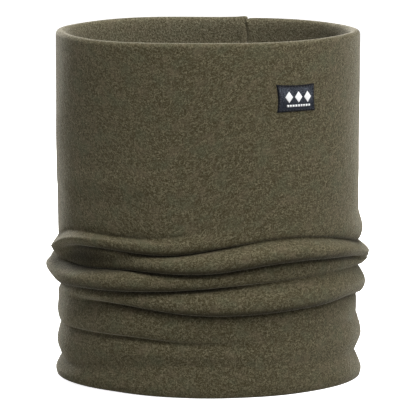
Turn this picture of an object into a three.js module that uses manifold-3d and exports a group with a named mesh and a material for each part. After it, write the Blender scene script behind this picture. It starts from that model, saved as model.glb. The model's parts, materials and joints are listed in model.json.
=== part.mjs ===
// A double-layer fleece neck gaiter, standing upright and slouched into three soft rolls.
// Millimetres, +Z up, front towards -Y. The origin is at the middle of the bottom edge.
// One cloth makes the outer layer, the fold round the face opening and the inner layer.
// The cloth is split into rings, because the tube opens out when its top is pulled up.

import * as THREE from 'three';
import { mergeVertices } from 'three/addons/utils/BufferGeometryUtils.js';
import Module from 'manifold-3d';

// Driving dimensions of the tube.
const halfWidth = 87.5;          // plain outer wall, along X
const halfDepth = 70;            // plain outer wall, along Y
const height = 202;              // bottom edge to top fold, slouched
const clothThickness = 1.8;      // one layer of fleece
const layerGap = 2.0;            // loft between the two layers
const bottomLip = 1.5;           // how far the inner layer shows below the outer one
const seamAngle = THREE.MathUtils.degToRad(164);   // back seam, a little right of the middle
const seamSlit = 0.4;            // crevice where the panel's two edges meet at the back seam
const ringGap = 0.3;             // clearance between neighbouring rings
const touchGap = 0.3;            // clearance between pieces that lie on each other

// Slouched rolls, from low to high. An edge is where one ring ends and the next begins.
const rollBulge = 5.5;           // how far a roll stands out past the plain wall
const edges = [
  { height: 48, frontRise: -0.5, rightRise: 0.5 },
  { height: 60, frontRise: 1.5, rightRise: 4 },
  { height: 72, frontRise: 0, rightRise: 1.5 },
  { height: 85, frontRise: 2, rightRise: 0.5 },
];

// Seams.
const seamWidth = 5;             // bound seam allowance along the back seam
const seamEndGap = 1;            // the seam strips end this far from a ring's edge
const bottomSeamHeight = 7;      // middle of the seam that closes the two layers
const bottomSeamWidth = 2;

// Woven label on the front right.
const labelAngle = THREE.MathUtils.degToRad(34.5);
const labelWidth = 24;
const labelHeight = 15.5;
const labelDrop = 33;            // top fold to the label's middle
const labelThickness = 0.6;
const threadThickness = 0.3;
const stitchWidth = 0.5;
const stitchMargin = 0.9;        // label edge to stitching
const patternShift = 1.2;        // pattern to the right of the label's middle
const lozengeWidth = 4.6;
const lozengeHeight = 6.4;
const lozengePitch = 5.8;
const lozengeRise = 0.6;         // lozenges above the label's middle
const barWidth = 15;
const barHeight = 1.2;
const barDrop = 4.3;             // bar below the label's middle

// Care label: a folded ribbon sewn into the inner back seam.
const ribbonThickness = 0.35;
const ribbonGap = 0.4;
const ribbonLength = 32;         // from the seam to the folded end
const ribbonHeight = 28;
const ribbonBottom = 11;
const ribbonLean = THREE.MathUtils.degToRad(18);   // off the wall's tangent at rest

const ringSteps = 48;
const foldSteps = 6;
const rollSteps = 6;

// Offsets follow from the sizes above: 0 is the plain outer face, minus is inwards.
const wall = 2 * clothThickness + layerGap;
const innerOffset = -(clothThickness + layerGap);
const seamThickness = (layerGap - 3 * touchGap) / 2;
const outerSeamOffset = -(clothThickness + touchGap);
const innerSeamOffset = outerSeamOffset - seamThickness - touchGap;
const labelMiddle = height - labelDrop;
const threadBase = touchGap + labelThickness + touchGap;
const ribbonRadius = ribbonThickness + ribbonGap / 2;
const hingeStandoff = ribbonRadius + touchGap;

const fleece = new THREE.MeshStandardMaterial({ color: 0x55503e, roughness: 1, metalness: 0 });
const seamThread = new THREE.MeshStandardMaterial({ color: 0x4a4636, roughness: 0.9, metalness: 0 });
const labelWeave = new THREE.MeshStandardMaterial({ color: 0x0e0f13, roughness: 0.7, metalness: 0 });
const whiteThread = new THREE.MeshStandardMaterial({ color: 0xe4e4e2, roughness: 0.7, metalness: 0 });
const satin = new THREE.MeshStandardMaterial({ color: 0xe8e6df, roughness: 0.5, metalness: 0 });

// A point of the wall: angle 0 is the front, a quarter turn is +X; offset is outwards.
function wallPoint(angle, offset) {
  const normal = new THREE.Vector2(Math.sin(angle) / halfWidth, -Math.cos(angle) / halfDepth);
  normal.normalize();
  return new THREE.Vector2(
    halfWidth * Math.sin(angle) + offset * normal.x,
    -halfDepth * Math.cos(angle) + offset * normal.y,
  );
}

// Carries a closed outline of [offset, z] points round the wall and caps both ends.
function sweepWall(outlineAt, from, to, steps) {
  const positions = [];
  const faces = [];
  const count = outlineAt(from).length;
  for (let step = 0; step <= steps; step += 1) {
    const angle = from + ((to - from) * step) / steps;
    for (const [offset, z] of outlineAt(angle)) {
      const point = wallPoint(angle, offset);
      positions.push(point.x, point.y, z);
    }
  }
  for (let step = 0; step < steps; step += 1) {
    for (let i = 0; i < count; i += 1) {
      const a = step * count + i;
      const b = step * count + ((i + 1) % count);
      faces.push(a, a + count, b, b, a + count, b + count);
    }
  }
  const capAt = (angle, first, turned) => {
    const outline = outlineAt(angle).map(([offset, z]) => new THREE.Vector2(offset, z));
    for (const [a, b, c] of THREE.ShapeUtils.triangulateShape(outline, [])) {
      faces.push(first + a, first + (turned ? c : b), first + (turned ? b : c));
    }
  };
  capAt(from, 0, false);
  capAt(to, steps * count, true);
  const geometry = new THREE.BufferGeometry();
  geometry.setAttribute('position', new THREE.Float32BufferAttribute(positions, 3));
  geometry.setIndex(faces);
  return geometry;
}

// The length of wall that one radian of angle covers at that angle.
function wallRate(angle) {
  return Math.hypot(halfWidth * Math.cos(angle), halfDepth * Math.sin(angle));
}

// A ring of cloth runs from one side of the back crevice all the way round to the other.
function sweepRing(outlineAt) {
  const slitAngle = seamSlit / 2 / wallRate(seamAngle);
  const from = seamAngle - 2 * Math.PI + slitAngle;
  return sweepWall(outlineAt, from, seamAngle - slitAngle, ringSteps);
}

// A strip centred on the back crevice.
function sweepBackStrip(outlineAt) {
  const halfAngle = seamWidth / 2 / wallRate(seamAngle);
  return sweepWall(outlineAt, seamAngle - halfAngle, seamAngle + halfAngle, 2);
}

function edgeAt(edge, angle) {
  return edge.height + edge.frontRise * Math.cos(angle) + edge.rightRise * Math.sin(angle);
}

// A layer's outline: outer face from bottom to top, then the inner face back down.
function layerOutline(bottom, top, offset, thickness, bulge) {
  const steps = bulge > 0 ? rollSteps : 1;
  const outer = [];
  const inner = [];
  for (let i = 0; i <= steps; i += 1) {
    const share = i / steps;
    const out = offset + bulge * Math.sin(Math.PI * share);
    const z = THREE.MathUtils.lerp(bottom, top, share);
    outer.push([out, z]);
    inner.unshift([out - thickness, z]);
  }
  return [...outer, ...inner];
}

// The part of an outline that turns over the top fold, from the outer face to the inner one.
function foldArc(radius) {
  const middle = -wall / 2;
  return Array.from({ length: foldSteps + 1 }, (_, i) => {
    const turn = (Math.PI * i) / foldSteps;
    return [middle + radius * Math.cos(turn), height - wall / 2 + radius * Math.sin(turn)];
  });
}

// Both layers and the fold between them, open at the bottom.
function foldedOutline(bottom, outerRadius, innerRadius) {
  const middle = -wall / 2;
  return [
    [middle + outerRadius, bottom],
    ...foldArc(outerRadius),
    [middle - outerRadius, bottom],
    [middle - innerRadius, bottom],
    ...foldArc(innerRadius).reverse(),
    [middle + innerRadius, bottom],
  ];
}

// Bends a flat piece onto the wall: its x runs along the wall, y is height, z is outwards.
function wrapOnWall(geometry, angle) {
  const rate = wallRate(angle);
  const position = geometry.attributes.position;
  for (let i = 0; i < position.count; i += 1) {
    const point = wallPoint(angle + position.getX(i) / rate, position.getZ(i));
    position.setXYZ(i, point.x, point.y, position.getY(i));
  }
  geometry.deleteAttribute('normal');
  geometry.deleteAttribute('uv');
  return mergeVertices(geometry);
}

function labelBlock(width, blockHeight, thickness, x, y, base) {
  const segments = Math.max(1, Math.round(width / 3));
  const block = new THREE.BoxGeometry(width, blockHeight, thickness, segments, 1, 1);
  block.translate(x, labelMiddle + y, base + thickness / 2);
  return wrapOnWall(block, labelAngle);
}

function lozenge(x) {
  const shape = new THREE.Shape();
  shape.moveTo(-lozengeWidth / 2, 0);
  shape.lineTo(0, -lozengeHeight / 2);
  shape.lineTo(lozengeWidth / 2, 0);
  shape.lineTo(0, lozengeHeight / 2);
  const geometry = new THREE.ExtrudeGeometry(shape, { depth: threadThickness, bevelEnabled: false });
  geometry.translate(patternShift + x, labelMiddle + lozengeRise, threadBase);
  return wrapOnWall(geometry, labelAngle);
}

// A rectangle of thread: the outer block less a thicker inner one.
function stitchFrame(wasm) {
  const outerWidth = labelWidth - 2 * stitchMargin;
  const outerHeight = labelHeight - 2 * stitchMargin;
  const outer = labelBlock(outerWidth, outerHeight, threadThickness, 0, 0, threadBase);
  const inner = labelBlock(
    outerWidth - 2 * stitchWidth,
    outerHeight - 2 * stitchWidth,
    3 * threadThickness,
    0,
    0,
    threadBase - threadThickness,
  );
  const cut = toManifold(wasm, outer).subtract(toManifold(wasm, inner));
  return fromManifold(cut);
}

function toManifold(wasm, geometry) {
  return new wasm.Manifold(new wasm.Mesh({
    numProp: 3,
    vertProperties: new Float32Array(geometry.attributes.position.array),
    triVerts: new Uint32Array(geometry.index.array),
  }));
}

function fromManifold(solid) {
  const mesh = solid.getMesh();
  const geometry = new THREE.BufferGeometry();
  geometry.setAttribute('position', new THREE.BufferAttribute(mesh.vertProperties, 3));
  geometry.setIndex(new THREE.BufferAttribute(mesh.triVerts, 1));
  return geometry;
}

// The care label seen from above: a hairpin of ribbon with its root at the seam.
function ribbonGeometry() {
  const innerRadius = ribbonGap / 2;
  const bend = ribbonLength - ribbonRadius;
  const shape = new THREE.Shape();
  shape.moveTo(0, -ribbonRadius);
  shape.lineTo(bend, -ribbonRadius);
  shape.absarc(bend, 0, ribbonRadius, -Math.PI / 2, Math.PI / 2, false);
  shape.lineTo(0, ribbonRadius);
  shape.lineTo(0, innerRadius);
  shape.lineTo(bend, innerRadius);
  shape.absarc(bend, 0, innerRadius, Math.PI / 2, -Math.PI / 2, true);
  shape.lineTo(0, -innerRadius);
  return new THREE.ExtrudeGeometry(shape, {
    depth: ribbonHeight,
    bevelEnabled: false,
    curveSegments: 6,
  });
}

const gaiter = new THREE.Group();

function add(name, geometry, material) {
  const mesh = new THREE.Mesh(geometry, material);
  mesh.name = name;
  gaiter.add(mesh);
  return mesh;
}

// Rings of one layer each: the lower part and the three rolls.
const bottomSeamTop = bottomSeamHeight + bottomSeamWidth / 2;
const rings = [
  { name: 'lower', bottom: null, top: edges[0], bulge: 0 },
  { name: 'roll_low', bottom: edges[0], top: edges[1], bulge: rollBulge },
  { name: 'roll_mid', bottom: edges[1], top: edges[2], bulge: rollBulge },
  { name: 'roll_high', bottom: edges[2], top: edges[3], bulge: rollBulge },
];

for (const ring of rings) {
  const layers = [
    { name: 'outer', foot: bottomLip, offset: 0, seamOffset: outerSeamOffset, bulge: ring.bulge },
    { name: 'inner', foot: 0, offset: innerOffset, seamOffset: innerSeamOffset, bulge: 0 },
  ];
  for (const layer of layers) {
    const bottomAt = (angle) => (ring.bottom ? edgeAt(ring.bottom, angle) : layer.foot);
    const topAt = (angle) => edgeAt(ring.top, angle) - ringGap;
    const seamFootAt = (angle) => (
      ring.bottom ? edgeAt(ring.bottom, angle) + seamEndGap : bottomSeamTop + touchGap
    );
    const cloth = (angle) => layerOutline(
      bottomAt(angle), topAt(angle), layer.offset, clothThickness, layer.bulge,
    );
    const seam = (angle) => layerOutline(
      seamFootAt(angle), topAt(angle) - seamEndGap,
      layer.seamOffset, seamThickness, layer.bulge,
    );
    add(`${layer.name}_layer_${ring.name}`, sweepRing(cloth), fleece);
    add(`${layer.name}_back_seam_${ring.name}`, sweepBackStrip(seam), seamThread);
  }
}

// The upper part: both layers with the fold round the face opening.
add('folded_upper', sweepRing((angle) => foldedOutline(
  edgeAt(edges[3], angle), wall / 2, layerGap / 2,
)), fleece);
add('back_seam_upper', sweepBackStrip((angle) => foldedOutline(
  edgeAt(edges[3], angle) + seamEndGap,
  layerGap / 2 - touchGap,
  layerGap / 2 - touchGap - seamThickness,
)), seamThread);

// The seam that closes the two layers near the bottom edge lies between them.
add('bottom_seam_thread', sweepRing(() => layerOutline(
  bottomSeamTop - bottomSeamWidth,
  bottomSeamTop,
  outerSeamOffset,
  layerGap - 2 * touchGap,
  0,
)), seamThread);

// The woven label, its pattern and its stitching.
add('woven_label', labelBlock(labelWidth, labelHeight, labelThickness, 0, 0, touchGap), labelWeave);
add('label_lozenge_left', lozenge(-lozengePitch), whiteThread);
add('label_lozenge_middle', lozenge(0), whiteThread);
add('label_lozenge_right', lozenge(lozengePitch), whiteThread);
add('label_bar', labelBlock(
  barWidth, barHeight, threadThickness, patternShift, -barDrop, threadBase,
), whiteThread);
const wasm = await Module();
wasm.setup();
add('label_stitching', stitchFrame(wasm), labelWeave);

// The care label leans off the inner wall, to the left of the seam seen from the front.
const careLabel = add('care_label', ribbonGeometry(), satin);
const ribbonRoot = wallPoint(seamAngle, -wall - hingeStandoff);
const alongWall = wallPoint(seamAngle, 1).sub(wallPoint(seamAngle, 0)).angle() + Math.PI / 2;
careLabel.position.set(ribbonRoot.x, ribbonRoot.y, ribbonBottom);
careLabel.rotation.z = alongWall + ribbonLean;

export default gaiter;
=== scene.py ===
"""A double-layer fleece neck gaiter standing upright, slouched into soft rolls above its lower edge.

The cloth is one rectangle sewn into a tube and turned in at the top. It is built as a closed strip
profile of (offset, height) points in millimetres, carried round an ellipse whose size comes from the
frame. Angle 0 is the front of the gaiter and a quarter turn is its right side, seen from the front;
an offset is measured outwards from the plain outer wall.
"""

import json
import math

import bpy
import numpy as np
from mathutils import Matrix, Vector


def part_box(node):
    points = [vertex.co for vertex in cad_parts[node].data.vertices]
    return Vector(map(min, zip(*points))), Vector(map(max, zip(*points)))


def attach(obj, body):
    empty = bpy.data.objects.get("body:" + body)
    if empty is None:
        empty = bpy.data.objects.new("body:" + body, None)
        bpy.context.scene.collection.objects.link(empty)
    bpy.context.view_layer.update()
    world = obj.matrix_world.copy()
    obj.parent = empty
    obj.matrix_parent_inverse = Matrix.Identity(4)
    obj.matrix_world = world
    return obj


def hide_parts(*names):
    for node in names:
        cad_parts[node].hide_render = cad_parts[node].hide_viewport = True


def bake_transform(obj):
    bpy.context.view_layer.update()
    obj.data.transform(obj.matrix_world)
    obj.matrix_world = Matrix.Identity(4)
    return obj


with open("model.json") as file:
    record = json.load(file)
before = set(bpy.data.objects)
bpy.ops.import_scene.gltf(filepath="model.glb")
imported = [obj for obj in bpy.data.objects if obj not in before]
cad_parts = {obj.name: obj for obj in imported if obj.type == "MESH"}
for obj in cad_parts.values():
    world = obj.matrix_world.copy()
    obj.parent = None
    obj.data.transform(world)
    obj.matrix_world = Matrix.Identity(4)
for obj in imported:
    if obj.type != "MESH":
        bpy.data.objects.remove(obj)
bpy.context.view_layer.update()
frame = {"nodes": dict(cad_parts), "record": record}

MM = 0.001
CLOTH = 1.8                             # thickness of one layer of fleece
LAYER_GAP = 2.0                         # loft between the layers
WALL = 2 * CLOTH + LAYER_GAP
MIDDLE = -WALL / 2                      # offset of the middle of the loft
FLAT_WIDTH = 0.50                       # the cut panel, in metres: girth


def box_mm(node):
    """Middle and size of a frame node's box, in millimetres."""
    low, high = (np.array(corner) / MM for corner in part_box(node))
    return (low + high) / 2, high - low


upper_middle, upper_size = box_mm("folded_upper")
HALF_WIDTH = upper_size[0] / 2          # plain outer wall, along X
HALF_DEPTH = upper_size[1] / 2          # plain outer wall, along Y
HEIGHT = upper_middle[2] + upper_size[2] / 2


def angle_of(node, offset):
    """The angle round the wall at which a frame node stands, when its middle is at that offset."""
    middle, _ = box_mm(node)
    return math.atan2(middle[0] / (HALF_WIDTH + offset), -middle[1] / (HALF_DEPTH + offset))


SEAM = angle_of("back_seam_upper", MIDDLE)
PLAIN_WALL = 116.0                      # the wall is plain above this height


# ---------------------------------------------------------------- shape of the tube

def column_angles():
    """Angles of the mesh columns, from one side of the back seam round to the other: even steps,
    then a fine zone next to the seam so that its crevice stays crisp."""
    fine = math.radians(5.0)
    even_columns = 252
    coarse = np.linspace(fine, 2 * math.pi - fine, even_columns)
    near = fine * np.array([0.02, 0.05, 0.09, 0.15, 0.23, 0.34, 0.5, 0.72])
    turn = np.concatenate([near, coarse, 2 * math.pi - near[::-1]])
    return SEAM - 2 * math.pi + turn


ANGLES = column_angles()
ROUNDING = 5.0                          # degrees over which keyed values are rounded off


def around(keys):
    """Values at every column from {degrees: value}: straight runs between the keys, closed round the
    tube, then rounded off with a bell-shaped average ROUNDING degrees wide to each side."""
    fine = np.arange(-180.0, 180.0)
    stops = sorted(keys)
    runs = np.interp(fine, stops, [keys[stop] for stop in stops], period=360)
    weights = np.exp(-0.5 * (fine / ROUNDING) ** 2)
    weights /= weights.sum()
    rounded = np.fft.ifft(np.fft.fft(runs) * np.fft.fft(np.fft.ifftshift(weights))).real
    return np.interp(np.degrees(ANGLES), fine, rounded, period=360)


def bell(value, middle, width):
    """A bump of height 1 at middle that fades over about width to each side."""
    return np.exp(-(((value - middle) / width) ** 2))


def smooth_curve(points, steps):
    """A centripetal Catmull-Rom curve through rows of (offset, height) points, worked out for all
    columns at once; each span between two rows gets its own number of steps."""
    first = 2 * points[0] - points[1]
    last = 2 * points[-1] - points[-2]
    rows = np.concatenate([[first], points, [last]])
    knots = np.sqrt(np.maximum(np.linalg.norm(np.diff(rows, axis=0), axis=2), 1e-3))[..., None]
    made = []
    for span, count in enumerate(steps):
        p0, p1, p2, p3 = rows[span:span + 4]
        t1 = knots[span]
        t2 = t1 + knots[span + 1]
        t3 = t2 + knots[span + 2]
        for share in np.arange(count) / count:
            t = t1 + share * (t2 - t1)
            a1 = (t1 - t) / t1 * p0 + t / t1 * p1
            a2 = (t2 - t) / (t2 - t1) * p1 + (t - t1) / (t2 - t1) * p2
            a3 = (t3 - t) / (t3 - t2) * p2 + (t - t2) / (t3 - t2) * p3
            b1 = (t2 - t) / t2 * a1 + t / t2 * a2
            b2 = (t3 - t) / (t3 - t1) * a2 + (t - t1) / (t3 - t1) * a3
            made.append((t2 - t) / (t2 - t1) * b1 + (t - t1) / (t2 - t1) * b2)
    made.append(rows[-2])
    return np.array(made)


# The slouch, from the bottom up, keyed by degrees round the tube. A crease runs round at a height and
# its bottom lies at an offset ("dip"). "lap" is how tightly the roll above closes over the crease: 0
# is an open valley, 1 an overhanging lip. "swell" is how far the cloth above it stands out, "crest" the
# share of the way up to the next crease at which it stands out most. Lengths are in millimetres.
CREASES = {
    "hem ripple": {
        "height": {-180: 14, -90: 13, -68: 10.5, -34: 16.5, -8: 19, 40: 17, 90: 14.5, 140: 15},
        "dip": {-180: -0.6, -120: -1.6, -90: -2.6, -70: -1.6, -50: -0.9, -34: -0.9, -8: -0.5, 20: 0,
                60: -0.3, 78: -1.4, 90: -2.1, 105: -1.8, 130: -0.8},
        "lap": {0: 0},
        "swell": {-180: 0.6, -90: 0.7, -60: 0.9, -34: 1.0, 0: 0.6, 60: 0.5, 78: 1.4, 90: 2.0, 105: 1.8,
                  130: 0.8},
    },
    "lower ripple": {
        "height": {-180: 32, -90: 31.5, -60: 32.7, -30: 33.5, 0: 30.5, 30: 32, 90: 37, 130: 34},
        "dip": {-180: -0.9, -110: -1.2, -90: -1.4, -60: -1.4, -30: -1.4, -5: -0.8, 20: 0.1, 60: -0.4,
                90: -1.4, 110: -1.3, 140: -0.8},
        "lap": {-180: 0.2, -90: 0.1, -60: 0.35, -25: 0.5, 0: 0.2, 30: 0, 90: 0.1},
        "swell": {-180: 0.9, -90: 0.4, -60: 0.8, -25: 1.7, 0: 1.2, 30: 0.4, 60: -0.2, 90: -1.4,
                  110: -1.2, 140: 0.2},
    },
    "low roll": {
        "height": {-180: 49, -130: 48, -90: 46, -65: 50, -45: 51.6, -30: 51.8, -8: 48.8, 10: 48.6,
                   42: 50.6, 60: 52.0, 78: 49.6, 90: 47, 130: 48.5},
        "dip": {-180: -2.0, -130: -1.6, -100: -0.2, -90: 0.0, -75: -0.6, -60: -1.4, -45: -2.2,
                -25: -3.2, 0: -3.8, 45: -3.8, 62: -2.8, 75: -1.8, 90: -1.4, 110: -1.6, 130: -2.2},
        "lap": {-180: 0.6, -130: 0.4, -90: 0, -60: 0, -45: 0.3, -25: 0.8, 0: 1, 45: 1, 62: 0.7,
                75: 0.3, 90: 0.35, 130: 0.8},
        "swell": {-180: 3.4, -130: 2.4, -90: 0.0, -75: -0.4, -60: 0.5, -45: 1.6, -25: 3.6, 0: 5.0,
                  30: 5.4, 60: 5.0, 75: 4.0, 90: 3.7, 110: 3.4, 140: 3.6},
    },
    "middle roll": {
        "height": {-180: 62, -130: 58, -100: 54, -90: 53, -75: 57.2, -60: 59.8, -39: 60.5, -10: 62.5,
                   5: 63.3, 32: 65.6, 55: 67.0, 70: 66.6, 80: 65.0, 90: 64.7, 100: 64.5, 130: 62},
        "dip": {-180: -2.0, -130: -1.8, -100: -1.2, -90: -1.2, -75: -1.9, -60: -3.2, -40: -3.8,
                -10: -3.6, 5: -2.2, 20: -0.6, 55: 0.0, 70: -0.6, 80: -1.3, 90: -1.7, 105: -1.4,
                130: -1.6},
        "lap": {-180: 0.7, -130: 0.5, -105: 0.1, -82: 0.1, -66: 1, -15: 1, 0: 0.7, 18: 0.3, 55: 0.2,
                75: 0.3, 90: 0.35, 130: 0.8},
        "swell": {-180: 4.0, -130: 5, -105: 6.6, -90: 7.4, -75: 6.6, -45: 6.2, -20: 5.2, 0: 3.6,
                  20: 2.0, 50: 1.0, 68: 0.6, 78: 1.8, 90: 5.3, 105: 4.6, 130: 2.8},
        "crest": {-180: 0.44, -110: 0.6, -90: 0.74, -78: 0.62, -60: 0.48, 0: 0.44, 90: 0.68, 120: 0.44},
    },
    "high roll": {
        "height": {-180: 72, -130: 71, -100: 70.6, -90: 70.5, -78: 70.0, -60: 69.6, -48: 70.6,
                   -28: 73.2, -12: 72.1, 0: 72.3, 9: 74.1, 21: 76.8, 35: 78.3, 55: 76.8, 68: 74.2,
                   80: 70.8, 90: 69.9, 100: 69.8, 130: 70},
        "dip": {-180: -1.8, -130: -0.5, -100: 3.6, -90: 4.4, -80: 1.2, -68: -4.0, -45: -4.6,
                -28: -4.0, -12: -4.8, 40: -4.8, 62: -4.4, 72: -1.8, 80: 2.6, 90: 6.3, 105: 5.4,
                130: -0.4},
        "lap": {-180: 0.7, -130: 0.5, -100: 0.1, -90: 0.1, -78: 0.3, -65: 0.7, -45: 0.8, -28: 1,
                55: 1, 68: 0.7, 80: 0.3, 90: 0.2, 130: 0.6},
        "swell": {-180: 4.0, -130: 2.6, -100: 2.6, -90: 3.4, -80: 0.6, -67: -3.4, -52: -3.2, -42: -2.6,
                  -34: -1.0, -27: 2.6, -20: 4.6, -12: 5.6, 10: 6.2, 40: 6.6, 65: 6.4, 80: 5.8, 90: 5.7,
                  105: 5.3, 130: 4.6},
        "crest": {-180: 0.44, -90: 0.5, 0: 0.44, 78: 0.4, 90: 0.3, 120: 0.44},
    },
    "top roll": {
        "height": {-180: 84, -130: 79, -100: 73.4, -90: 72.8, -80: 74, -72: 77.6, -58: 82.4, -40: 84,
                   -28: 82.6, -14: 81.8, 0: 84.6, 9: 86.3, 21: 89.0, 35: 89.7, 50: 87.6, 68: 83.4,
                   80: 79.6, 90: 78.8, 100: 79.2, 130: 83},
        "dip": {-180: 0, -130: 0.6, -100: 3.2, -90: 3.8, -80: 1.8, -72: -1.0, -58: -3.8, -40: -4.2,
                -20: -3.6, -8: -3.2, 4: -2.0, 18: -0.9, 45: -1.0, 68: -1.5, 80: -1.6, 90: -1.6,
                105: -1.4, 130: -0.6},
        "lap": {-180: 0.2, -130: 0.3, -90: 0.1, -72: 0.1, -58: 0.6, -40: 0.9, -8: 1, 4: 0.7, 18: 0.4,
                45: 0.35, 68: 0.5, 90: 0.25, 130: 0.3},
        "swell": {-180: 1.2, -130: 2.6, -100: 3.6, -90: 4.1, -78: 4.8, -60: 4.6, -40: 3.6, -20: 2.4,
                  0: 0.8, 20: 0.0, 50: 0.2, 75: 1.4, 90: 2.2, 105: 1.8, 130: 0.8},
        "crest": {-180: 0.43, -100: 0.3, -90: 0.25, -72: 0.45, -55: 0.62, -20: 0.68, 0: 0.43},
    },
    "upper edge of the slouch": {
        "height": {-180: 97, -130: 92, -100: 82, -90: 80.2, -80: 83, -67: 89.5, -55: 91, -40: 90.2,
                   -25: 89.6, -12: 91, 0: 95, 40: 101, 90: 97, 130: 98},
        "dip": {-180: 0, -90: -0.1, -67: -0.7, -50: -0.9, -38: -1.3, -22: -1.2, -10: -0.5, 5: -0.1,
                20: 0, 90: -0.2},
        "lap": {0: 0},
        "swell": {0: 0},
    },
}
EVEN_CREST = {0: 0.44}                  # where a roll stands out most, unless it is keyed

# Offset of the outer layer just above its bottom edge, height of that edge above the floor, and how
# far the inner layer's edge stands outwards of the plain inner wall.
FOOT = {-180: 0.3, -90: 1.3, -60: 1.5, -30: 1.1, 0: 0.8, 30: 0.8, 60: 1.2, 90: 2.5, 130: 0.8}
OUTER_EDGE = {-180: 0.6, -90: 0.9, -60: 1.0, -40: 0.9, -20: 0.4, 0: 0.1, 90: 0.1, 130: 0.4}
INNER_FLARE = {-180: 0.4, -90: 2.0, -60: 2.3, -35: 1.9, -12: 1.1, 0: 0.6, 30: 0.6, 90: 0, 130: 0.3}
HEM_RISE = 4.0                          # how far the turned bottom edge reaches up from its own edge
FOOT_TOP = 4.5                          # and about how high that is above the floor
FADE_OUT = 6.0                          # height over which the topmost crease runs out
RIM_HANG = 2.0                          # how much lower the rim hangs at the front than at the sides
SEAM_DEPTH = 1.2                        # how deep the back seam's crevice goes into the cloth
SEAM_WIDTH = 0.8                        # and half its width
SIDE_REACH = 2.6                        # most that an open crease's shoulder and lip are below and above it
LAP_SHOULDER = 2.5                      # most that a lapped crease's shoulder is below it
LIP_HANG = 0.7                          # how far its lip hangs down past it
PAINTED_SHADE_ABOVE = 1.9                     # how far the painted shade of a lapped crease reaches up its lip
PAINTED_SHADE_BELOW = 1.5                     # and down the shoulder below it


def keyed(value):
    """One keyed value of every crease, at every column."""
    return [around(crease.get(value, EVEN_CREST)) for crease in CREASES.values()]


HEIGHTS = keyed("height")
DIPS = keyed("dip")
LAPS = keyed("lap")
SWELLS = keyed("swell")
CRESTS = keyed("crest")


def crease_rows(place, below, above, lap, thickness=0.0):
    """Three rows of (offset, height) at one crease: the shoulder of the roll below, the bottom of
    the crease, and the lip of the roll above, which hangs over the crease's bottom where the crease
    laps. The shoulder and lip of an open crease lie on its sides, a little way to the next crests."""
    height, dip = HEIGHTS[place], DIPS[place]
    to_below = height - FOOT_TOP
    if place:
        to_below = (1 - CRESTS[place - 1]) * (height - HEIGHTS[place - 1])
    to_above = np.full_like(height, FADE_OUT)
    if place + 1 < len(CREASES):
        to_above = CRESTS[place] * (HEIGHTS[place + 1] - height)
    fall = np.minimum(SIDE_REACH, 0.6 * to_below)
    climb = np.minimum(SIDE_REACH, 0.6 * to_above)
    under = dip + (below - dip) * np.minimum(0.5, 1.1 * fall / to_below)
    over = dip + (above - dip) * np.minimum(0.5, 1.1 * climb / to_above)
    open_rows = [(under, -fall), (dip, 0.0), (over, climb)]
    lap_rows = [(0.55 * below - 0.4, -np.minimum(LAP_SHOULDER, fall)), (dip, 0.1),
                (0.70 * above + 0.2, -LIP_HANG)]
    rows = []
    for (open_offset, open_rise), (lap_offset, lap_rise) in zip(open_rows, lap_rows):
        offset = (1 - lap) * open_offset + lap * lap_offset - thickness
        rise = (1 - lap) * open_rise + lap * lap_rise
        rows.append(np.stack([offset, height + rise], axis=1))
    return rows


def outer_rows(hidden=False):
    """Rows of the outer layer's face from its bottom edge up to where the top fold starts, with the
    number of mesh steps from each row to the next. The hidden face is the same face without its
    lips, one cloth thickness further in."""
    depth = CLOTH if hidden else 0.0
    foot = around(FOOT)
    edge = around(OUTER_EDGE)
    rows = [
        np.stack([foot - 0.6 - depth, edge + CLOTH / 2], axis=1),
        np.stack([foot - depth, edge + HEM_RISE], axis=1),
    ]
    steps = [4]
    for place in range(len(CREASES)):
        below = SWELLS[place - 1] if place else foot
        lap = 0 * foot if hidden else LAPS[place]
        rows += crease_rows(place, below, SWELLS[place], lap, depth)
        steps += [4, 5, 5]
        if place + 1 < len(CREASES):
            low, high = HEIGHTS[place], HEIGHTS[place + 1]
            middle = low + CRESTS[place] * (high - low)
            rows.append(np.stack([SWELLS[place] - depth, middle], axis=1))
            steps.append(6)
    top = HEIGHT - WALL / 2
    for height in np.linspace(PLAIN_WALL, top, 6):
        rows.append(np.stack([np.zeros_like(foot) - depth, np.full_like(foot, height)], axis=1))
        steps.append(8)
    steps = steps[:-1]
    if hidden:
        steps = [max(1, count // 3) for count in steps]
    return np.array(rows), steps


def inner_rows(hidden=False):
    """Rows of the inner layer's face from the top fold down to its bottom edge: it follows the
    slouch softly, pushed inwards at the creases. The hidden face is one cloth thickness out."""
    plain = np.full(len(ANGLES), -WALL) + (CLOTH if hidden else 0.0)
    rows = [np.stack([plain, np.full_like(plain, height)], axis=1)
            for height in np.linspace(HEIGHT - WALL / 2, PLAIN_WALL, 5)]
    for place in reversed(range(1, len(CREASES))):
        height = HEIGHTS[place]
        if place + 1 < len(CREASES):
            middle = 0.5 * (height + HEIGHTS[place + 1])
            rows.append(np.stack([plain + 0.25 * np.maximum(SWELLS[place], 0), middle], axis=1))
        rows.append(np.stack([plain + 0.7 * np.minimum(DIPS[place], 0), height], axis=1))
    flare = around(INNER_FLARE)
    rows.append(np.stack([plain, np.full_like(plain, 12.0)], axis=1))
    rows.append(np.stack([plain + flare + (0.0 if hidden else 0.3), np.full_like(plain, CLOTH / 2)],
                         axis=1))
    steps = [6] * 5 + [4] * (len(rows) - 7) + [3]
    if hidden:
        steps = [2] * len(steps)
    return np.array(rows), steps


def arc(middle, radius, low_height, start, end, steps):
    """Rows on a round turn of the cloth about (middle, low_height), from start to end degrees,
    measured from straight out towards straight up; both ends are left out."""
    turns = np.radians(np.linspace(start, end, steps + 2)[1:-1])[:, None]
    offset = middle + radius * np.cos(turns) + 0 * ANGLES
    height = low_height + radius * np.sin(turns) + 0 * ANGLES
    return np.stack([offset, height], axis=2)


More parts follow.
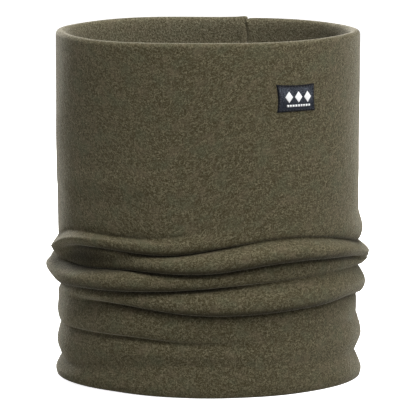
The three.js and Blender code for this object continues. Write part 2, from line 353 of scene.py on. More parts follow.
def cloth_profile():
    """The closed strip profile at every column: outer face up, over the top fold, inner face down,
    round the inner layer's edge, up its hidden face, under the fold, down the outer layer's hidden
    face and round its edge. With it come the numbers of rows on the outer face and of rows in sight,
    and 1 or -1 for each row that looks outwards or inwards."""
    outer = smooth_curve(*outer_rows())
    inner = smooth_curve(*inner_rows())
    hidden_outer = smooth_curve(*outer_rows(hidden=True))
    hidden_inner = smooth_curve(*inner_rows(hidden=True))
    top = HEIGHT - WALL / 2
    fold = arc(MIDDLE, WALL / 2, top, 0, 180, 11)
    under_fold = arc(MIDDLE, LAYER_GAP / 2, top, 180, 0, 5)
    inner_middle = -WALL + CLOTH / 2 + 0.15 + around(INNER_FLARE)
    inner_edge = arc(inner_middle, CLOTH / 2 - 0.15, CLOTH / 2, 180, 360, 4)
    foot = around(FOOT)
    outer_edge = arc(foot - 0.6 - CLOTH / 2, CLOTH / 2, around(OUTER_EDGE) + CLOTH / 2, 180, 360, 4)
    parts = [(outer, 1), (fold, 1), (inner[1:], -1), (inner_edge, -1), (hidden_inner[::-1], 1),
             (under_fold, 1), (hidden_outer[::-1], -1), (outer_edge, 1)]
    facing = np.concatenate([np.full(len(part), float(side)) for part, side in parts])
    visible = len(outer) + len(fold) + len(inner) - 1
    return np.concatenate([part for part, _ in parts]), len(outer), visible, facing


def loose_shape(angles, heights):
    """Small soft unevenness of the whole wall, in millimetres of offset: a few long waves that close
    round the tube, and low swells on the upper wall where the cloth was folded."""
    degrees = np.degrees(angles)
    degrees = (degrees + 180) % 360 - 180
    waves = (
        0.30 * np.sin(3 * angles + heights / 31 + 0.6)
        + 0.25 * np.sin(5 * angles - heights / 23 + 2.1)
        + 0.18 * np.sin(8 * angles + heights / 17 + 4.0)
        + 0.10 * np.sin(13 * angles - heights / 11 + 1.3)
    )
    swells = (
        0.9 * bell(degrees, -44, 26) * bell(heights, 119, 6)
        - 0.7 * bell(degrees, -44, 30) * bell(heights, 110, 5)
        + 0.8 * bell(degrees, -66, 9) * bell(heights, 112 - 0.42 * (degrees + 66), 3)
        + 0.5 * bell(degrees, 60, 30) * bell(heights, 124, 14)
        + 0.6 * bell(np.abs(degrees), 150, 30) * bell(heights, 122, 9)
    )
    fade = np.clip((HEIGHT - heights) / 60, 0.35, 1)
    return waves * fade + swells


def from_seam(angles):
    """Signed distance from the back seam along the wall, in millimetres: negative on the side where
    the angle is smaller."""
    turn = (angles - SEAM + math.pi) % (2 * math.pi) - math.pi
    return turn * math.hypot(HALF_WIDTH * math.cos(SEAM), HALF_DEPTH * math.sin(SEAM))


def shaped(offsets, heights, angles, facing):
    """Adds the loose shape and the back seam to profile points. facing is 1 on a face that looks
    outwards and -1 on one that looks inwards, so that the crevice goes into the cloth from both
    sides. One edge of the seam stands a little proud of the other and reaches higher at the fold."""
    distance = from_seam(angles)
    dip = np.exp(-((np.abs(distance) / SEAM_WIDTH) ** 1.3))
    proud = np.where(distance > 0, 0.75 * bell(distance, 2.6, 2.4), 0.25 * bell(distance, -3.4, 2.2))
    offsets = offsets + loose_shape(angles, heights) + facing * (proud - SEAM_DEPTH * dip)
    near_top = np.clip((heights - 120) / 80, 0, 1) ** 2
    wave = 0.4 * np.sin(2 * angles + 0.7) + 0.25 * np.sin(5 * angles + 2.0)
    step = np.where(distance > 0, 1.0 * np.exp(-distance / 9), -0.35 * np.exp(distance / 4))
    hang = RIM_HANG * np.clip(np.cos(angles), 0, 1) ** 0.8
    return offsets, heights + near_top * (wave + step - 0.5 * dip - hang)


def wall_point(angles, offsets):
    """Points (x, y) in millimetres: the ellipse at each angle, moved along its outward normal."""
    normal = np.stack([np.sin(angles) / HALF_WIDTH, -np.cos(angles) / HALF_DEPTH])
    normal /= np.linalg.norm(normal, axis=0)
    x = HALF_WIDTH * np.sin(angles) + offsets * normal[0]
    y = -HALF_DEPTH * np.cos(angles) + offsets * normal[1]
    return x, y


# ---------------------------------------------------------------- meshes

def mesh_object(name, vertices, faces, smooth=True):
    """A mesh object at the origin from an array of points in metres and a list of faces."""
    mesh = bpy.data.meshes.new(name)
    mesh.from_pydata(vertices.tolist(), [], faces)
    mesh.polygons.foreach_set("use_smooth", [smooth] * len(mesh.polygons))
    mesh.update()
    piece = bpy.data.objects.new(name, mesh)
    bpy.context.collection.objects.link(piece)
    return piece


def ring_faces(rows, columns, close_rows=True, close_columns=True):
    """Quads of a grid of points stored row by row, wrapped round in either direction."""
    row = np.arange(rows if close_rows else rows - 1)
    column = np.arange(columns if close_columns else columns - 1)
    r, c = np.meshgrid(row, column, indexing="ij")
    up = (r + 1) % rows
    on = (c + 1) % columns
    quads = np.stack([r * columns + c, r * columns + on, up * columns + on, up * columns + c], axis=-1)
    return quads.reshape(-1, 4)


def set_uv(piece, u, v):
    """Gives every face corner the (u, v) of its vertex, both in metres along the cloth."""
    layer = piece.data.uv_layers.get("cloth") or piece.data.uv_layers.new(name="cloth")
    corner = np.zeros(len(piece.data.loops), np.int64)
    piece.data.loops.foreach_get("vertex_index", corner)
    layer.data.foreach_set("uv", np.stack([u[corner], v[corner]], axis=1).ravel())


def set_value(piece, name, values):
    """A named value from 0 to 1 at every vertex, for the piece's material."""
    layer = piece.data.attributes.new(name, "FLOAT", "POINT")
    layer.data.foreach_set("value", np.ascontiguousarray(values, dtype=np.float32).ravel())


def painted_crease_shade_share(profile, outside):
    """How much painted shade darkens the outer face, from 0 to 1: it grows with the depth of the cloth
    behind the plain wall, and next to a lapped crease as a bell of the height from it. It stands for the
    shade that falls deep in the creases."""
    painted_crease_shade = np.clip((-profile[..., 0] - 1.0) / 2.4, 0, 1)
    for height, lap in zip(HEIGHTS, LAPS):
        above = profile[..., 1] - height
        reach = np.where(above > 0, PAINTED_SHADE_ABOVE, PAINTED_SHADE_BELOW)
        painted_crease_shade = np.maximum(painted_crease_shade, lap * np.exp(-((above / reach) ** 2)))
    painted_crease_shade[outside:] = 0
    return painted_crease_shade


def painted_inside_light_share(profile, outside):
    """How much painted light makes the cloth paler, from 0 to 1: it grows over the first half of the top
    fold and stays full on the inside, standing for light that bounces inside the tube and shines through
    the cloth."""
    painted_inside_light = np.clip(-profile[..., 0] / (0.45 * WALL), 0, 1)
    painted_inside_light[:outside] = 0
    return painted_inside_light


def fleece_tube():
    """The whole cloth as one closed mesh: the strip profile carried round the ellipse."""
    profile, outside, visible, facing = cloth_profile()
    rows, columns = profile.shape[:2]
    angles = np.broadcast_to(ANGLES, (rows, columns))
    facing = facing[:, None] * np.where(np.arange(rows) < visible, 1.0, 0.4)[:, None]
    offsets, heights = shaped(profile[..., 0], profile[..., 1], angles, facing)
    x, y = wall_point(angles, offsets)
    points = np.stack([x, y, heights], axis=-1).reshape(-1, 3) * MM
    piece = mesh_object("fleece_tube", points, ring_faces(rows, columns).tolist())
    run = np.linalg.norm(np.diff(profile, axis=0), axis=2)
    along = np.concatenate([np.zeros((1, columns)), np.cumsum(run, axis=0)]) * MM
    across = np.broadcast_to(ANGLES / (2 * math.pi) * FLAT_WIDTH, (rows, columns))
    set_uv(piece, across.ravel(), along.ravel())
    # painted shade for the creases, as a value for the material
    set_value(piece, "painted_crease_shade", painted_crease_shade_share(profile, outside))
    # painted light for the inside and the top fold, as a value for the material
    set_value(piece, "painted_inside_light", painted_inside_light_share(profile, outside))
    return piece


def on_wall(angle, x, heights, offsets):
    """Points in metres of pieces laid on the loose wall: x runs along the wall in millimetres from
    the given angle, offsets stand on the cloth's face."""
    rate = math.hypot(HALF_WIDTH * math.cos(angle), HALF_DEPTH * math.sin(angle))
    angles = angle + x / rate
    across, deep = wall_point(angles, offsets + loose_shape(angles, heights))
    return np.stack([across, deep, heights], axis=-1) * MM


def slab_faces(rows, columns):
    """Quads of a thin closed slab: its front grid, its back grid behind it, and the four sides."""
    front = ring_faces(rows, columns, False, False)
    back = front[:, ::-1] + rows * columns
    grid = np.arange(rows * columns).reshape(rows, columns)
    rim = np.concatenate([grid[0], grid[1:, -1], grid[-1, -2::-1], grid[-2:0:-1, 0]])
    on = np.roll(rim, -1)
    sides = np.stack([rim + rows * columns, on + rows * columns, on, rim], axis=1)
    return np.concatenate([front, back, sides])


def slab(name, angle, x, heights, low, high):
    """A thin closed piece laid on the wall, from grids of its places and of its two faces."""
    front = on_wall(angle, x, heights, high).reshape(-1, 3)
    back = on_wall(angle, x, heights, low).reshape(-1, 3)
    piece = mesh_object(name, np.concatenate([front, back]), slab_faces(*x.shape).tolist())
    set_uv(piece, np.tile(x.ravel(), 2) * MM, np.tile(heights.ravel(), 2) * MM)
    return piece


def grid(rows, columns):
    """Two grids that run from -1 to 1, across and up, with finer steps near the edges."""
    across = np.sin(np.linspace(-1, 1, columns) * math.pi / 2)
    up = np.sin(np.linspace(-1, 1, rows) * math.pi / 2)
    return np.meshgrid(across, up)


LABEL_ANGLE = angle_of("woven_label", 0.6)
LABEL_MIDDLE = box_mm("woven_label")[0][2]
LABEL_HEIGHT = box_mm("woven_label")[1][2]
LABEL_WIDTH = 24.0
LABEL_BACK = -0.15                      # the label sinks a little into the nap
LABEL_BORDER = 1.5                      # width of the folded edge
LABEL_EDGE = 0.22                       # how far its face stands on the cloth at the very edge,
LABEL_MORE = 0.33                       # how much further in the middle,
LABEL_HEM = 0.14                        # and how much further again on the folded edge


def label_front(x, heights):
    """Offset of the label's front face: a low cushion that thins at the edges, with the folded
    border a little thicker than the middle."""
    from_side = LABEL_WIDTH / 2 - np.abs(x)
    from_end = LABEL_HEIGHT / 2 - np.abs(heights - LABEL_MIDDLE)
    inwards = np.clip(np.minimum(from_side, from_end), 0, None)
    rounded = 1 - np.exp(-inwards / 0.35)
    border = 1 / (1 + np.exp((inwards - LABEL_BORDER) / 0.12))
    puff = 0.18 * bell(x, 3, 9) * bell(heights, LABEL_MIDDLE + 1, 6)
    return LABEL_EDGE + LABEL_MORE * rounded + LABEL_HEM * border + puff


def label_lie(x, heights):
    """Where the label's points lie on the wall: it is sewn on a little askew, its top to the left."""
    s = x / (LABEL_WIDTH / 2)
    t = (heights - LABEL_MIDDLE) / (LABEL_HEIGHT / 2)
    return x - 0.45 - 0.35 * t + 0.1 * s, heights - 0.1 - 0.1 * s - 0.05 * t - 0.15 * s * t


def label_bow(s, t):
    """How much the label is drawn in between its tacked corners, as factors on the places across and
    up, which run from -1 to 1. The left side and the top end are drawn in furthest."""
    across = 1 - np.where(s < 0, 0.075, 0.03) * (1 - t ** 2)
    up = 1 - np.where(t > 0, 0.075, 0.02) * (1 - s ** 2)
    return across, up


def woven_label():
    """The label: a sewn patch whose sides bow in a little between its tacked corners."""
    s, t = grid(61, 91)
    across, up = LABEL_WIDTH / 2 * s, LABEL_HEIGHT / 2 * t
    bow_across, bow_up = label_bow(s, t)
    x, heights = label_lie(across * bow_across, LABEL_MIDDLE + up * bow_up)
    front = label_front(across, LABEL_MIDDLE + up)
    piece = slab("woven_label_patch", LABEL_ANGLE, x, heights, np.full_like(x, LABEL_BACK), front)
    set_uv(piece, np.tile(across.ravel(), 2) * MM, np.tile(up.ravel(), 2) * MM)
    return piece


def place_on_label(node):
    """Where a frame node's middle lies on the label, along the wall and up, and its width along the
    wall and height, in millimetres."""
    middle, size = box_mm(node)
    rate = math.hypot(HALF_WIDTH * math.cos(LABEL_ANGLE), HALF_DEPTH * math.sin(LABEL_ANGLE))
    along = (angle_of(node, 1.35) - LABEL_ANGLE) * rate
    width = math.hypot(size[0], size[1]) - 0.3
    return along, middle[2], width, size[2]


def lozenge(name, node):
    """A satin-stitched lozenge: a square grid turned on its corner and domed, thread side out."""
    along, up, width, height = place_on_label(node)
    p, q = grid(25, 25)
    x = along + width / 4 * (p - q)
    heights = up + height / 4 * (p + q)
    base = label_front(x, heights)
    x, heights = label_lie(x, heights)
    dome = 0.06 + 0.26 * (1 - p ** 6) * (1 - q ** 6)
    return slab(name, LABEL_ANGLE, x, heights, base - 0.08, base + dome)


def label_bar(name, node):
    """The satin-stitched bar under the lozenges: a domed strip with rounded ends."""
    along, up, width, height = place_on_label(node)
    s, t = grid(13, 91)
    x = along + width / 2 * s - 0.25 * height * np.sign(s) * (np.abs(s) > 0.98) * t ** 2
    heights = up + height / 2 * t
    base = label_front(x, heights)
    x, heights = label_lie(x, heights)
    dome = 0.05 + 0.24 * (1 - t ** 4) * (1 - s ** 40)
    return slab(name, LABEL_ANGLE, x, heights, base - 0.08, base + dome)


THREAD_SIDES = 6                        # faces round a thread
SEWING_THREAD = 0.17                    # half the thickness of the label's and the back seam's thread
HEM_THREAD = 0.20                       # and of the bottom seam's


def thread_points(path, radius, out, closed=False):
    """Points of a round thread along a path (n, 3): out is a direction across the path at each point,
    and the other is at right angles to it and to the path."""
    if closed:
        along = np.roll(path, -1, axis=0) - np.roll(path, 1, axis=0)
    else:
        along = np.gradient(path, axis=0)
    along /= np.linalg.norm(along, axis=1, keepdims=True)
    out = out - along * np.sum(out * along, axis=1, keepdims=True)
    out /= np.linalg.norm(out, axis=1, keepdims=True)
    side = np.cross(along, out)
    turn = np.linspace(0, 2 * math.pi, THREAD_SIDES, endpoint=False)[None, :, None]
    return path[:, None, :] + radius * (np.cos(turn) * out[:, None, :] + np.sin(turn) * side[:, None, :])


def thread_mesh(name, strands, closed=False):
    """One mesh from threads given as (n, THREAD_SIDES, 3) point arrays; each end of an open one is
    closed with one face."""
    faces, start = [], 0
    for strand in strands:
        faces += (ring_faces(len(strand), THREAD_SIDES, closed, True)[:, ::-1] + start).tolist()
        past = start + len(strand) * THREAD_SIDES
        if not closed:
            faces.append(list(range(start, start + THREAD_SIDES)))
            faces.append(list(range(past - 1, past - THREAD_SIDES - 1, -1)))
        start = past
    return mesh_object(name, np.concatenate(strands).reshape(-1, 3), faces)


def label_stitches():
    """The row of short stitches round the label, each a thread that dips into the weave at its ends."""
    margin = 0.95
    half = LABEL_WIDTH / 2 - margin
    tall = LABEL_HEIGHT / 2 - margin
    pitch, length = 1.75, 1.25
    along_stitch = np.linspace(-0.5, 0.5, 7)
    arch = 0.16 * np.cos(along_stitch * math.pi * 1.1)
    strands = []
    runs = [((-half, tall), (half, tall)), ((half, tall), (half, -tall)),
            ((half, -tall), (-half, -tall)), ((-half, -tall), (-half, tall))]
    for (x0, z0), (x1, z1) in runs:
        run = math.hypot(x1 - x0, z1 - z0)
        count = int(run // pitch)
        for place in range(count):
            middle = (place + 0.5) * run / count
            share = (middle + along_stitch * length) / run
            x = x0 + share * (x1 - x0)
            up = z0 + share * (z1 - z0)
            face = label_front(x, LABEL_MIDDLE + up)
            bow_across, bow_up = label_bow(x / half, up / tall)
            x, heights = label_lie(x * bow_across, LABEL_MIDDLE + up * bow_up)
            path = on_wall(LABEL_ANGLE, x, heights, face + arch - 0.06)
            outer = on_wall(LABEL_ANGLE, x, heights, face + arch + 1)
            strands.append(thread_points(path, SEWING_THREAD * MM, outer - path))
    return thread_mesh("label_stitches", strands)


def middle_of_cloth(heights, angles):
    """Offset of the middle between the two layers, which the slouch pushes in and out a little."""
    crease_heights = np.array([np.interp(angles, ANGLES, row) for row in HEIGHTS])
    dips = np.array([np.interp(angles, ANGLES, row) for row in DIPS])
    push = sum(0.5 * np.minimum(dip, 0) * bell(heights, height, 4)
               for height, dip in zip(crease_heights, dips))
    return MIDDLE + push


def back_seam_thread():
    """The overlock thread of the back seam: two zigzags, one on each layer's seam edge. Each runs from
    the bottom seam up to just under the top fold."""
    pitch = 2.2
    low, top = 9.5, HEIGHT - WALL / 2 - 0.6
    strands = []
    rate = abs(from_seam(SEAM + 0.001) / 0.001)
    for side in (1, -1):
        heights = np.arange(low, top, pitch / 8)
        phase = heights / pitch * 2 * math.pi
        across = 1.9 * np.sin(phase) + 0.5 * np.sin(2 * phase)
        angles = SEAM + across / rate
        wrapped = np.where(angles > ANGLES[-1], angles - 2 * math.pi, angles)
        offsets = middle_of_cloth(heights, wrapped) + side * (0.42 + 0.16 * np.cos(2 * phase))
        path = np.stack([*wall_point(angles, offsets), heights], axis=1) * MM
        outer = np.stack([*wall_point(angles, offsets + 1), heights], axis=1) * MM
        strands.append(thread_points(path, SEWING_THREAD * MM, outer - path))
    return thread_mesh("back_seam_thread", strands)


def bottom_seam_thread():
    """The seam that closes the two layers near the bottom edge: a thread that runs to and fro
    between them all the way round."""
    turns = np.linspace(0, 2 * math.pi, 2600, endpoint=False)
    angles = SEAM + turns
    stitches = 180
    phase = turns * stitches
    heights = box_mm("bottom_seam_thread")[0][2] + 0.85 * np.sin(phase)
    offsets = MIDDLE + 0.62 * np.cos(phase)
    path = np.stack([*wall_point(angles, offsets + loose_shape(angles, heights)), heights], axis=1) * MM
    outer = np.stack([*wall_point(angles, offsets + 1), heights], axis=1) * MM
    strand = thread_points(path, HEM_THREAD * MM, outer - path, closed=True)
    return thread_mesh("bottom_seam_stitches", [strand], closed=True)


RIBBON_HALF_GAP = 0.35                  # half the space between the ribbon's two plies
RIBBON = 0.22                           # half the ribbon's thickness


def ribbon_outline(length):
    """The folded ribbon seen from above, as (along, aside) points in millimetres: a hairpin with its
    two ends at 0 and its turn at length, first one face of the ribbon and then the other."""
    straight = np.linspace(0, 1, 40)[:-1] * (length - RIBBON_HALF_GAP)
    turn = np.linspace(-0.5, 0.5, 13) * math.pi
    bend = length - RIBBON_HALF_GAP + RIBBON_HALF_GAP * np.cos(turn)
    run = np.concatenate([straight, bend, straight[::-1]])
    ply = np.ones(len(straight))
    apart = np.concatenate([-ply, np.sin(turn), ply])
    pinch = 0.75 + 0.25 * np.clip(run / 6, 0, 1)
    center = np.stack([run, RIBBON_HALF_GAP * pinch * apart], axis=1)
    tangent = np.gradient(center, axis=0)
    tangent /= np.linalg.norm(tangent, axis=1, keepdims=True)
    normal = np.stack([tangent[:, 1], -tangent[:, 0]], axis=1)
    return np.concatenate([center + RIBBON * normal, (center - RIBBON * normal)[::-1]])


def care_label():
    """The care label: a blank ribbon folded end to end into a loop with both ends in the back seam.
    It leans off the wall, and its free end curls and droops a little."""
    middle, size = box_mm("care_label")
    hinge = next(joint for joint in frame["record"]["behaviour"]["joints"]
                 if joint["name"] == "care_label_turn")
    root = np.array(hinge["pos_m"][:2]) / MM
    far = 2 * (middle[:2] - root)
    length = np.linalg.norm(far) - 0.6
    along = far / np.linalg.norm(far)
    aside = np.array([-along[1], along[0]])
    outline = ribbon_outline(length)
    levels = np.linspace(0, 1, 29)
    low, tall = middle[2] - size[2] / 2, size[2]
    share = outline[None, :, 0] / length
    up = levels[:, None]
    sway = 0.9 * share ** 2 * np.sin(2.2 * up + 0.4) - 0.5 * share ** 2
    ripple = 0.12 * share * np.sin(9 * share + 5 * up)
    plan = outline[None, :, 0, None] * along + (outline[None, :, 1] + sway + ripple)[..., None] * aside
    plan = np.broadcast_to(plan, (len(levels), len(outline), 2)) + root
    droop = -0.8 * share ** 2 + 0.25 * share * np.sin(6 * share)
    heights = low + tall * (0.012 + 0.976 * up) + droop
    points = np.concatenate([plan, heights[..., None]], axis=2) * MM
    rows, columns = points.shape[:2]
    half = columns // 2
    across = np.arange(half - 1)
    end = np.stack([across, columns - 1 - across, columns - 2 - across, across + 1], axis=1)
    walls = ring_faces(rows, columns, False, True)
    faces = np.concatenate([walls, end, end[:, ::-1] + (rows - 1) * columns])
    piece = mesh_object("care_ribbon", points.reshape(-1, 3), faces.tolist())
    out = np.cumsum(np.full(half, 2 * length / half))
    along_ribbon = np.broadcast_to(np.concatenate([out, out[::-1]]), (rows, columns))
    set_uv(piece, along_ribbon.ravel() * MM, heights.ravel() * MM)
    return piece


# ---------------------------------------------------------------- finishes

class Wire:
    """A node socket that can be added, subtracted and multiplied like a number."""

    def __init__(self, finish, socket):
        self.finish = finish
        self.socket = socket

    def _math(self, operation, first, second):
        return self.finish.node("ShaderNodeMath", {"operation": operation}, {0: first, 1: second})

    def __add__(self, other):
        return self._math("ADD", self, other)

    __radd__ = __add__

    def __mul__(self, other):
        return self._math("MULTIPLY", self, other)

    __rmul__ = __mul__

    def __sub__(self, other):
        return self._math("SUBTRACT", self, other)

    def __rsub__(self, other):
        return self._math("SUBTRACT", other, self)


class Finish:
    """A material under construction. node() makes any node and gives back its output as a Wire."""

    def __init__(self, name, constants):
        self.material = bpy.data.materials.new(name)
        self.material.use_nodes = True
        self.tree = self.material.node_tree
        self.surface = self.tree.nodes["Principled BSDF"]
        for socket, value in constants.items():
            self.surface.inputs[socket].default_value = value

    def put(self, socket, value):
        """Links a Wire to a socket, or sets the socket to a plain value."""
        if isinstance(value, Wire):
            self.tree.links.new(value.socket, socket)
        else:
            socket.default_value = value

    def node(self, kind, settings=None, inputs=None, output=0):
        """Any node, with its settings and inputs, as a Wire from one of its outputs."""
        made = self.tree.nodes.new(kind)
        for key, value in (settings or {}).items():
            setattr(made, key, value)
        for key, value in (inputs or {}).items():
            self.put(made.inputs[key], value)
        return Wire(self, made.outputs[output])

    def cloth(self, scale=(1.0, 1.0, 1.0)):
        """The piece's own coordinates in metres along its cloth, stretched by scale."""
        where = self.node("ShaderNodeUVMap", {"uv_map": "cloth"})
        return self.node("ShaderNodeMapping", {}, {"Vector": where, "Scale": scale})

    def noise(self, where, scale, detail=2.0, roughness=0.5, distortion=0.0):
        """Cloudy values from 0 to 1, about scale of them to the metre."""
        return self.node("ShaderNodeTexNoise", {}, {
            "Vector": where, "Scale": scale, "Detail": detail, "Roughness": roughness,
            "Distortion": distortion,
        })

    def wave(self, where, scale, distortion=0.0, direction="X"):
        """Soft parallel ridges from 0 to 1, across the given direction."""
        settings = {"wave_type": "BANDS", "bands_direction": direction, "wave_profile": "SIN"}
        return self.node("ShaderNodeTexWave", settings, {
            "Vector": where, "Scale": scale, "Distortion": distortion, "Detail": 1.0,
        })

    def size(self, value):
        """The value without its sign."""
        return self.node("ShaderNodeMath", {"operation": "ABSOLUTE"}, {0: value})

    def step(self, value, low, high):
        """0 below low, 1 above high, smooth between."""
        return self.node("ShaderNodeMapRange", {"interpolation_type": "SMOOTHSTEP"}, {
            "Value": value, "From Min": low, "From Max": high,
        })

    def mix(self, factor, first, second):
        """The first colour where factor is 0 and the second where it is 1."""
        return self.node("ShaderNodeMix", {"data_type": "RGBA"}, {0: factor, 6: first, 7: second}, 2)

    def bump(self, height, strength, distance):
        """A normal that shows height as relief, distance in metres deep."""
        return self.node("ShaderNodeBump", {}, {
            "Height": height, "Strength": strength, "Distance": distance,
        })

    def finish(self, color, normal):
        """Gives the surface its colour and relief, and hands over the material."""
        self.put(self.surface.inputs["Base Color"], color)
        self.put(self.surface.inputs["Normal"], normal)
        return self.material


def fleece_finish():
    """Heathered olive fleece: flecks of three yarn shades, slow mottling and a short tangled nap.
    Painted shade darkens the cloth deep in the creases, and painted light makes it paler on the inside and
    over the top fold."""
    finish = Finish("heathered_fleece", {
        "Roughness": 0.95, "Specular IOR Level": 0.10,
        "Sheen Weight": 0.26, "Sheen Roughness": 0.40, "Sheen Tint": (1.0, 0.94, 0.78, 1),
    })
    cloth = finish.cloth()
    fleck = finish.noise(cloth, 820, 2.0, 0.6, 0.4)
    fibre = finish.noise(cloth, 1900, 1.0, 0.5, 0.5)
    mottle = finish.noise(cloth, 85, 3.0, 0.6)
    hue = finish.noise(cloth, 130, 2.0, 0.5, 0.3)
    clump = finish.noise(cloth, 330, 2.0, 0.6, 0.5)
    dark = (0.032, 0.026, 0.011, 1)
    olive = (0.078, 0.067, 0.036, 1)
    pale = (0.150, 0.136, 0.090, 1)
    brown = (0.105, 0.083, 0.053, 1)
    green = (0.066, 0.073, 0.043, 1)
    # the next colour is the painted shade of the creases
    crease_shade_color = (0.010, 0.008, 0.003, 1)
    # the next two colours are the paler tones of painted light on the inside and the top fold
    painted_light_dark_fleck = (0.080, 0.068, 0.038, 1)
    painted_light_pale_fleck = (0.290, 0.265, 0.190, 1)
    grain = 0.5 * fleck + 0.5 * fibre
    tone = finish.mix(finish.step(grain, 0.38, 0.54), dark, olive)
    tone = finish.mix(finish.step(grain, 0.48, 0.66), tone, pale)
    tone = finish.mix(finish.step(clump, 0.40, 0.62) * 0.45, tone, dark)
    tone = finish.mix(finish.step(hue, 0.50, 0.72) * 0.40, tone, brown)
    tone = finish.mix(finish.step(mottle, 0.48, 0.70) * 0.35, tone, green)
    painted_crease_shade = finish.node("ShaderNodeAttribute", {"attribute_name": "painted_crease_shade"}, {}, 2)
    painted_inside_light = finish.node("ShaderNodeAttribute", {"attribute_name": "painted_inside_light"}, {}, 2)
    # painted shade: the creases are darkened towards a near-black colour
    tone = finish.mix(painted_crease_shade * 0.88, tone, crease_shade_color)
    # painted light: the inside and the top fold are mixed towards paler tones
    painted_inside_tone = finish.mix(finish.step(grain, 0.38, 0.62), painted_light_dark_fleck, painted_light_pale_fleck)
    tone = finish.mix(painted_inside_light * 0.31, tone, painted_inside_tone)
    nap = 0.5 * fibre + 0.6 * fleck + 0.7 * clump
    return finish.finish(tone, finish.bump(nap, 0.45, 0.0011))


def label_finish():
    """Near-black damask: a fine twill with blue-grey flecks, plainer and blacker on the border, and with
    fewer flecks low down, a painted sheen that leaves the upper part lighter.
    """
    finish = Finish("black_damask", {
        "Roughness": 0.7, "Specular IOR Level": 0.15, "Sheen Weight": 0.02, "Sheen Roughness": 0.5,
    })
    cloth = finish.cloth()
    slanted = finish.node("ShaderNodeMapping", {}, {"Vector": cloth, "Rotation": (0, 0, 0.9)})
    twill = finish.wave(slanted, 420, 0.6)
    weft = finish.wave(cloth, 560, 0.3, "Y")
    fleck = finish.noise(finish.cloth((1.0, 1.6, 1.0)), 1100, 2.0, 0.7)
    slow = finish.noise(cloth, 160, 2.0)
    black = (0.0022, 0.0026, 0.0045, 1)
    navy = (0.012, 0.015, 0.024, 1)
    grey = (0.075, 0.084, 0.102, 1)
    weave = 0.55 * twill + 0.45 * weft
    across = finish.node("ShaderNodeSeparateXYZ", {}, {0: cloth}, 0)
    up = finish.node("ShaderNodeSeparateXYZ", {}, {0: cloth}, 1)
    inside = (1 - finish.step(finish.size(across), 0.0104, 0.0110)) * (
        1 - finish.step(finish.size(up), 0.0062, 0.0068))
    # the flecks are the weave's own colour, but their fading below the pattern is painted sheen that keeps
    # the upper label lighter
    upper = 0.25 + 0.75 * finish.step(up, -0.0045, 0.0025)
    tone = finish.mix(weave * inside, black, navy)
    flecked = finish.step(fleck + 0.4 * slow, 0.58, 0.88)
    tone = finish.mix(flecked * inside * upper, tone, grey)
    return finish.finish(tone, finish.bump(weave + 0.5 * fleck, 0.5, 0.00012))


def satin_stitch_finish(name, gaps):
    """White satin stitching: close parallel threads with a soft gloss. gaps is how much of the dark
    ground shows between groups of threads, from 0 to 1."""
    finish = Finish(name, {
        "Roughness": 0.45, "Specular IOR Level": 0.4, "Sheen Weight": 0.15, "Sheen Roughness": 0.4,
    })
    furrow = (0.62, 0.63, 0.64, 1)
    white = (0.93, 0.93, 0.92, 1)
    grey = (0.70, 0.70, 0.69, 1)
    ground = (0.035, 0.037, 0.045, 1)
    ridges = finish.wave(finish.cloth(), 900, 0.5, "Y")
    slub = finish.noise(finish.cloth((0.3, 1.0, 1.0)), 1500, 2.0)
    between = 1 - finish.step(finish.wave(finish.cloth(), 190, 1.2), 0.30, 0.55)
    tone = finish.mix(ridges, furrow, white)
    tone = finish.mix(finish.step(slub, 0.5, 0.75) * 0.3, tone, grey)
    tone = finish.mix(gaps * between, tone, ground)
    return finish.finish(tone, finish.bump(ridges, 0.5, 0.00015))


def thread_finish(name, light, dark):
    """Twisted sewing thread: fine slanting ridges and uneven colour."""
    finish = Finish(name, {
        "Roughness": 0.6, "Specular IOR Level": 0.3, "Sheen Weight": 0.15, "Sheen Roughness": 0.4,
    })
    where = finish.node("ShaderNodeTexCoord", {}, {}, 3)
    ply = finish.node("ShaderNodeMapping", {}, {"Vector": where, "Rotation": (0.5, 0.6, 0.2)})
    twist = finish.wave(ply, 900, 0.8)
    uneven = finish.noise(where, 700, 2.0)
    tone = finish.mix(0.6 * twist + 0.4 * uneven, dark, light)
    return finish.finish(tone, finish.bump(twist, 0.4, 0.0001))


def ribbon_finish():
    """Off-white satin ribbon: a fine warp with a soft gloss."""
    finish = Finish("blank_satin_ribbon", {
        "Roughness": 0.36, "Specular IOR Level": 0.45, "Sheen Weight": 0.1, "Sheen Roughness": 0.3,
    })
    warp = finish.wave(finish.cloth(), 1100, 0.4, "Y")
    weft = finish.noise(finish.cloth((1.0, 0.15, 1.0)), 1400, 2.0)
    weave = 0.6 * warp + 0.4 * weft
    tone = finish.mix(weave, (0.66, 0.65, 0.61, 1), (0.82, 0.81, 0.77, 1))
    return finish.finish(tone, finish.bump(weave, 0.35, 0.00012))


# ---------------------------------------------------------------- stage

SOFT_LIGHTS = [
    # name, place, aim, size, power: metres and watts
    ("top_front", (0.35, -0.80, 1.60), (0, 0, 0.10), 0.6, 21),
    ("key_right", (0.95, -1.20, 1.25), (0, 0, 0.10), 0.8, 8.5),
    ("top", (0.10, -0.30, 1.50), (0, 0, 0.10), 0.5, 14),
    ("strip_left", (-0.75, 1.20, 0.45), (0, 0, 0.15), 0.4, 23),
    ("strip_right", (1.10, 0.20, 0.45), (0, 0, 0.15), 0.6, 3.5),
    ("behind", (0.0, 1.30, 0.75), (0, 0, 0.60), 0.6, 26),
]
AMBIENT = 0.12                          # brightness of the world, and of the floor, to the gaiter
FLOOR_BOUNCE = 0.6


def soft_light(name, place, aim, size, power):
    """A square studio soft light at place, turned towards aim."""
    light = bpy.data.lights.new(name, "AREA")
    light.energy = power
    light.size = size
    lamp = bpy.data.objects.new(name, light)
    lamp.location = place
    lamp.rotation_euler = (Vector(aim) - Vector(place)).to_track_quat("-Z", "Y").to_euler()
    bpy.context.collection.objects.link(lamp)


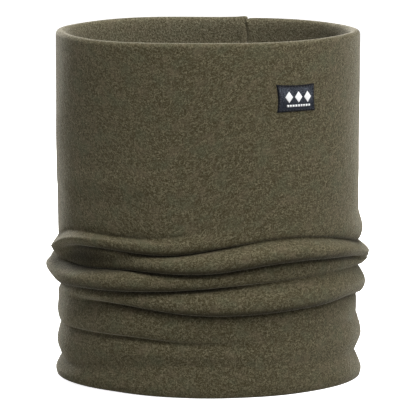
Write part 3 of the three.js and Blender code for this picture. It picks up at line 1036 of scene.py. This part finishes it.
def white_world():
    """A world that is white to the camera and lights the gaiter only dimly."""
    world = bpy.data.worlds.new("studio_white")
    world.use_nodes = True
    tree = world.node_tree
    seen = tree.nodes.new("ShaderNodeLightPath").outputs["Is Camera Ray"]
    strength = tree.nodes.new("ShaderNodeMapRange")
    tree.links.new(seen, strength.inputs["Value"])
    strength.inputs["To Min"].default_value = AMBIENT
    strength.inputs["To Max"].default_value = 1.0
    background = tree.nodes["Background"]
    background.inputs["Color"].default_value = (1, 1, 1, 1)
    tree.links.new(strength.outputs[0], background.inputs["Strength"])
    bpy.context.scene.world = world


def white_floor():
    """A plain floor that is white to the camera and throws less light back up at the gaiter."""
    corners = 6.0 * np.array([[-1, -1, 0], [1, -1, 0], [1, 1, 0], [-1, 1, 0]])
    floor = mesh_object("floor", corners, [[0, 1, 2, 3]], smooth=False)
    finish = Finish("floor_white", {"Roughness": 0.9, "Emission Color": (1, 1, 1, 1)})
    seen = finish.node("ShaderNodeLightPath")
    bounce = (FLOOR_BOUNCE, FLOOR_BOUNCE, FLOOR_BOUNCE, 1)
    finish.put(finish.surface.inputs["Base Color"], finish.mix(seen, bounce, (0.9, 0.9, 0.9, 1)))
    finish.put(finish.surface.inputs["Emission Strength"], 0.94 * seen)
    floor.data.materials.append(finish.material)


def camera():
    """The camera stands in front of the gaiter and a little above it, looking slightly down."""
    distance, rise = 1.64, 0.367
    down = math.radians(9.34)
    view = math.radians(8.31)
    data = bpy.data.cameras.new("camera")
    data.sensor_width = 36
    data.lens = data.sensor_width / 2 / math.tan(view / 2)
    viewer = bpy.data.objects.new("camera", data)
    viewer.location = (0, -distance, rise)
    viewer.rotation_euler = (math.pi / 2 - down, 0, 0)
    bpy.context.collection.objects.link(viewer)
    bpy.context.scene.camera = viewer


# ---------------------------------------------------------------- the gaiter

def dress(piece, finish, nodes, body=None):
    """Gives a piece its finish, the frame nodes it stands for and the body it rides on."""
    piece.data.materials.append(finish)
    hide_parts(*nodes)
    if body:
        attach(piece, body)
    return piece


def opens_out(piece):
    """Bakes the piece's place into its mesh and puts it on no body. The piece crosses the slouch, which
    opens out when the top is pulled up, but its mesh stays as it is.
    """
    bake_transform(piece)


bpy.context.scene.view_settings.view_transform = "Standard"
camera()
white_world()
white_floor()
for light in SOFT_LIGHTS:
    soft_light(*light)

tube = dress(fleece_tube(), fleece_finish(),
             [name for name in frame["nodes"] if "layer" in name or name == "folded_upper"])
opens_out(tube)

olive_thread = thread_finish("olive_seam_thread", (0.12, 0.105, 0.065, 1), (0.04, 0.034, 0.018, 1))
seam = dress(back_seam_thread(), olive_thread,
             [name for name in frame["nodes"] if "back_seam" in name])
opens_out(seam)
dress(bottom_seam_thread(), olive_thread, ["bottom_seam_thread"], "lower")

dress(woven_label(), label_finish(), ["woven_label"], "upper")
black_thread = thread_finish("black_label_thread", (0.020, 0.022, 0.028, 1), (0.003, 0.004, 0.006, 1))
dress(label_stitches(), black_thread, ["label_stitching"], "upper")
white_stitch = satin_stitch_finish("white_satin_stitch", 0.0)
spaced_stitch = satin_stitch_finish("white_spaced_stitch", 0.85)
for side in ("left", "middle", "right"):
    node = f"label_lozenge_{side}"
    dress(lozenge(f"lozenge_{side}", node), white_stitch, [node], "upper")
dress(label_bar("label_underline", "label_bar"), spaced_stitch, ["label_bar"], "upper")
dress(care_label(), ribbon_finish(), ["care_label"], "care_flap")
